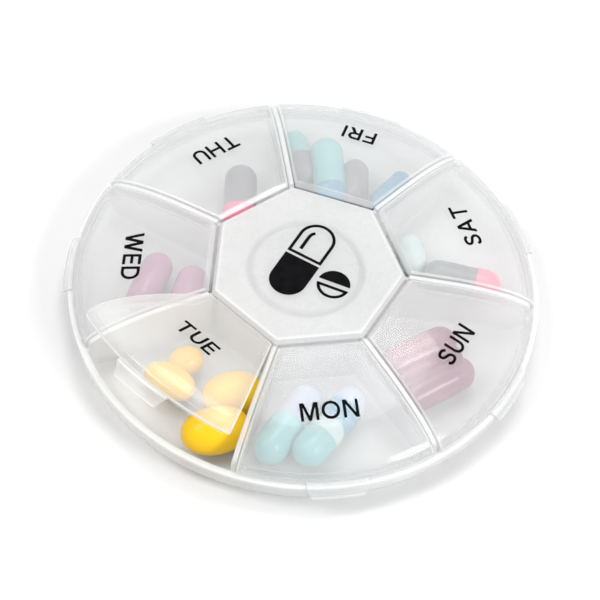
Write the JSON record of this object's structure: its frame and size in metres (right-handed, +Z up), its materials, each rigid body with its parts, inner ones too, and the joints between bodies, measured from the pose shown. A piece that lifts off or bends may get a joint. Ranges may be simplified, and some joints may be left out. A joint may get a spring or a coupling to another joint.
{
  "type": "travel pill organizer",
  "caption": "Round frosted travel pill organizer: a shallow tray of wedge compartments under a hub plate with a domed flip-up lid hinged over each one.",
  "frame": {"origin": "centre of the tray's flat underside", "axes": "+Z up through the hub; the first day's lid (mon) is centred on -Y and the days run clockwise seen from above"},
  "size_m": [0.0952, 0.0941, 0.0236],
  "materials": {
    "tray_plastic": "frosted translucent polypropylene",
    "cover_plastic": "frosted translucent polypropylene, semi-matt",
    "web_plastic": "thin clear flexing web, worked smooth",
    "print_ink": "black pad-printed ink"
  },
  "bodies": {
    "base": {"tray": "tray_plastic", "hub_plate": "cover_plastic", "hinge_web_mon": "web_plastic", "hinge_web_tue": "web_plastic", "hinge_web_wed": "web_plastic", "hinge_web_thu": "web_plastic", "hinge_web_fri": "web_plastic", "hinge_web_sat": "web_plastic", "hinge_web_sun": "web_plastic"},
    "lid_mon": {"lid_mon": "cover_plastic"},
    "lid_tue": {"lid_tue": "cover_plastic"},
    "lid_wed": {"lid_wed": "cover_plastic"},
    "lid_thu": {"lid_thu": "cover_plastic"},
    "lid_fri": {"lid_fri": "cover_plastic"},
    "lid_sat": {"lid_sat": "cover_plastic"},
    "lid_sun": {"lid_sun": "cover_plastic"}
  },
  "joints": [
    {"name": "mon_lid_hinge", "type": "hinge", "parent": "base", "child": "lid_mon", "pos_m": [0, -0.01802, 0.01395], "axis": [1, 0, 0], "range_deg": [-90, 0], "deforming": ["hinge_web_mon"]},
    {"name": "tue_lid_hinge", "type": "hinge", "parent": "base", "child": "lid_tue", "pos_m": [-0.01409, -0.01124, 0.01395], "axis": [-0.6235, 0.7818, 0], "range_deg": [-30.5, 59.5], "deforming": ["hinge_web_tue"]},
    {"name": "wed_lid_hinge", "type": "hinge", "parent": "base", "child": "lid_wed", "pos_m": [-0.01757, 0.00401, 0.01395], "axis": [-0.2225, -0.9749, 0], "range_deg": [-90, 0], "deforming": ["hinge_web_wed"]},
    {"name": "thu_lid_hinge", "type": "hinge", "parent": "base", "child": "lid_thu", "pos_m": [-0.00782, 0.01624, 0.01395], "axis": [0.901, 0.4339, 0], "range_deg": [0, 90], "deforming": ["hinge_web_thu"]},
    {"name": "fri_lid_hinge", "type": "hinge", "parent": "base", "child": "lid_fri", "pos_m": [0.00782, 0.01624, 0.01395], "axis": [-0.901, 0.4339, 0], "range_deg": [-90, 0], "deforming": ["hinge_web_fri"]},
    {"name": "sat_lid_hinge", "type": "hinge", "parent": "base", "child": "lid_sat", "pos_m": [0.01757, 0.00401, 0.01395], "axis": [0.2225, -0.9749, 0], "range_deg": [0, 90], "deforming": ["hinge_web_sat"]},
    {"name": "sun_lid_hinge", "type": "hinge", "parent": "base", "child": "lid_sun", "pos_m": [0.01409, -0.01124, 0.01395], "axis": [0.6235, 0.7818, 0], "range_deg": [-54, 0], "deforming": ["hinge_web_sun"]}
  ]
}
